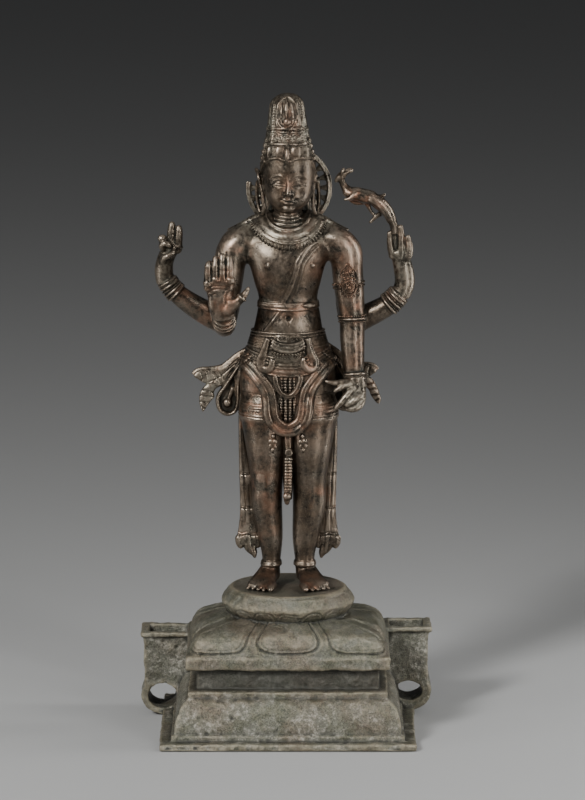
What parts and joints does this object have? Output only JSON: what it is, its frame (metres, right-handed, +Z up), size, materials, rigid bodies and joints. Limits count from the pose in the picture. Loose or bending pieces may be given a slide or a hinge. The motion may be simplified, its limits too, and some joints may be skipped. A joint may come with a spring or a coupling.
{
  "type": "shiva figure",
  "caption": "Four-armed standing figure of Shiva in cast copper alloy, on a lotus pedestal with side sockets and rings.",
  "frame": {"origin": "middle of the pedestal plate's underside", "axes": "+Z up, the figure faces -Y, +X to the viewer's right"},
  "size_m": [0.292, 0.217, 0.6369],
  "materials": {
    "figure_bronze": "dark brown cast copper alloy, worn to reddish copper on the high places",
    "pedestal_bronze": "green-grey patinated cast copper alloy with pale mottled crust"
  },
  "bodies": {
    "root": {"figure": "figure_bronze", "pedestal": "pedestal_bronze"}
  },
  "joints": []
}
